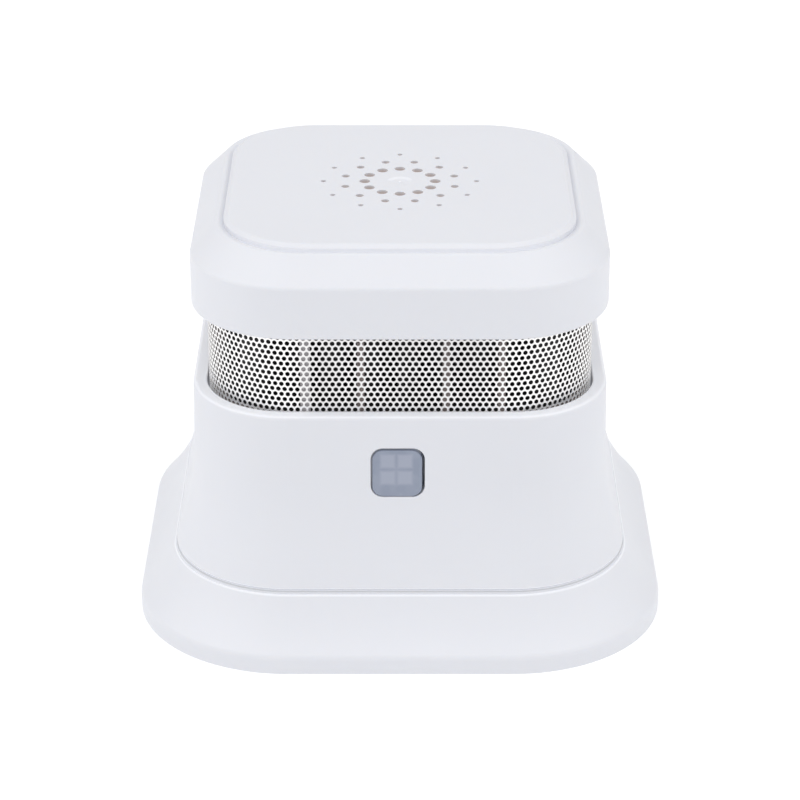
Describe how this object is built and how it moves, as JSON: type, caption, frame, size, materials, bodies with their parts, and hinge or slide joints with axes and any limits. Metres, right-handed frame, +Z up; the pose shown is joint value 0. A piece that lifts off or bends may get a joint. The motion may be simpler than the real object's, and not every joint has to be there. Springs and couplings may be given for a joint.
{
  "type": "smoke detector",
  "caption": "Compact ceiling smoke detector with a flared base, twist-off head, perforated screen band, test button and capped sounder.",
  "frame": {"origin": "centre of the underside of the mounting base, the face that meets the ceiling", "axes": "+Z up through the cap, away from the ceiling; -Y out of the face with the test button; +X to its right"},
  "size_m": [0.06, 0.06, 0.047],
  "materials": {
    "white_shell": "satin",
    "screw_steel": "satin",
    "cell_steel": "satin",
    "cell_wrap": "gloss",
    "contact_nickel": "satin",
    "board_green": "satin",
    "tinned_shield": "satin",
    "chip_black": "matte",
    "coil_black": "matte",
    "capacitor_sleeve": "gloss",
    "switch_black": "matte",
    "led_clear": "gloss",
    "button_translucent": "satin",
    "chamber_black": "matte",
    "optic_clear": "gloss",
    "optic_dark": "gloss",
    "cage_grey": "matte",
    "screen_steel": "satin",
    "piezo_brass": "satin",
    "piezo_ceramic": "matte",
    "lead_red": "satin",
    "lead_black": "satin"
  },
  "bodies": {
    "base": {"mounting_base": "white_shell"},
    "head": {"body_shell": "white_shell", "top_cap": "white_shell", "chassis": "white_shell", "sounder_housing": "white_shell", "chassis_screws": "screw_steel", "board_screws": "screw_steel", "cap_screws": "screw_steel", "battery_cell": "cell_steel", "battery_sleeve": "cell_wrap", "positive_contact": "contact_nickel", "negative_contact": "contact_nickel", "main_board": "board_green", "radio_board": "board_green", "radio_shield": "tinned_shield", "receiver_shield": "tinned_shield", "microcontroller": "chip_black", "sensor_amplifier": "chip_black", "sounder_coil": "coil_black", "storage_capacitor": "capacitor_sleeve", "tact_switch": "switch_black", "status_leds": "led_clear", "chamber_base": "chamber_black", "chamber_cover": "chamber_black", "infrared_emitter": "optic_clear", "light_receiver": "optic_dark", "screen_cage": "cage_grey", "insect_screen": "screen_steel", "piezo_plate": "piezo_brass", "piezo_ceramic": "piezo_ceramic", "sounder_lead_left": "lead_red", "sounder_lead_right": "lead_black"},
    "button": {"test_button": "button_translucent"},
    "plunger": {"switch_plunger": "switch_black"}
  },
  "joints": [
    {"name": "head_twist", "type": "hinge", "parent": "base", "child": "head", "pos_m": [0, 0, 0.0034], "axis": [0, 0, 1], "range_deg": [0, 24]},
    {"name": "test_button_press", "type": "slide", "parent": "head", "child": "button", "axis": [0, 1, 0], "range_m": [0, 0.0004], "stiffness_N_per_m": 1500, "springref_m": -0.0003},
    {"name": "switch_plunger_press", "type": "slide", "parent": "head", "child": "plunger", "axis": [0, 1, 0], "range_m": [0, 0.0004]}
  ],
  "couplings": [
    {"joint": "switch_plunger_press", "follows": "test_button_press", "ratio": 1}
  ]
}
